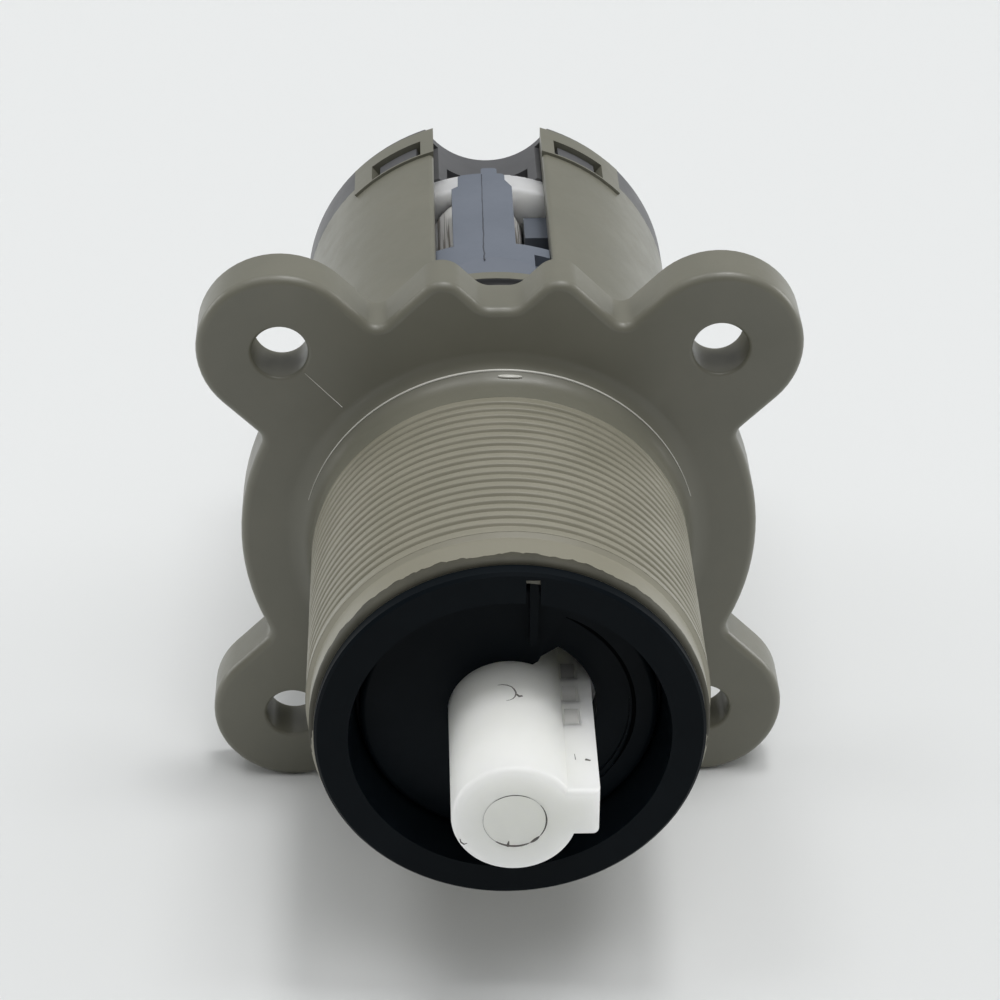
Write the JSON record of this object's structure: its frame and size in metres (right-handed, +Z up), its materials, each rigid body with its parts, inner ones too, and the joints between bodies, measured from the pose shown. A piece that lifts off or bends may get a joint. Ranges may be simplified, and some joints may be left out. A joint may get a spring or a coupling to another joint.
{
  "type": "pressure balance valve cartridge",
  "caption": "Shower valve cartridge: square-eared flange, threaded collar with turning stem and limit stop, windowed rear shell around a sliding balance spool.",
  "frame": {"origin": "centre of the four ear screw holes, on the flange's rear face that seats on the valve body", "axes": "+Y along the stem's axis towards the rear inlets, so the stem points to -Y; +Z up through the flange's two top bumps; +X right as seen from the stem's end"},
  "size_m": [0.065, 0.1131, 0.065],
  "materials": {
    "olive_plastic": "moulded, faintly frosted, thread and collar polished by the mould",
    "black_plastic": "moulded black acetal, satin",
    "white_plastic": "moulded white acetal, satin",
    "blue_grey_plastic": "moulded, satin",
    "dark_grey_plastic": "moulded, satin",
    "ceramic": "lapped alumina",
    "stainless_steel": "turned and ground",
    "black_rubber": "moulded rubber, lightly greased"
  },
  "bodies": {
    "cartridge_body": {"balance_sleeve": "stainless_steel", "body_oring": "black_rubber", "bonnet": "black_plastic", "carrier": "blue_grey_plastic", "carrier_oring": "black_rubber", "end_cap": "dark_grey_plastic", "fixed_disc": "ceramic", "housing": "olive_plastic", "inlet_plate": "white_plastic", "inlet_screen_cold": "stainless_steel", "inlet_screen_hot": "stainless_steel", "inlet_seal_cold": "black_rubber", "inlet_seal_hot": "black_rubber", "limit_stop": "black_plastic", "plate_seals": "black_rubber", "port_seals": "black_rubber", "sleeve_orings": "black_rubber", "sleeve_plug": "dark_grey_plastic", "thrust_washer": "white_plastic"},
    "stem": {"stem": "white_plastic", "stem_oring_front": "black_rubber", "stem_oring_rear": "black_rubber", "drive_coupling": "black_plastic", "moving_disc": "ceramic"},
    "spool": {"balance_spool": "stainless_steel"}
  },
  "joints": [
    {"name": "stem_turn", "type": "hinge", "parent": "cartridge_body", "child": "stem", "pos_m": [0, 0, 0], "axis": [0, 1, 0], "range_deg": [-34, 105]},
    {"name": "spool_slide", "type": "slide", "parent": "cartridge_body", "child": "spool", "axis": [0, 1, 0], "range_m": [-0.0022, 0.0022]}
  ]
}
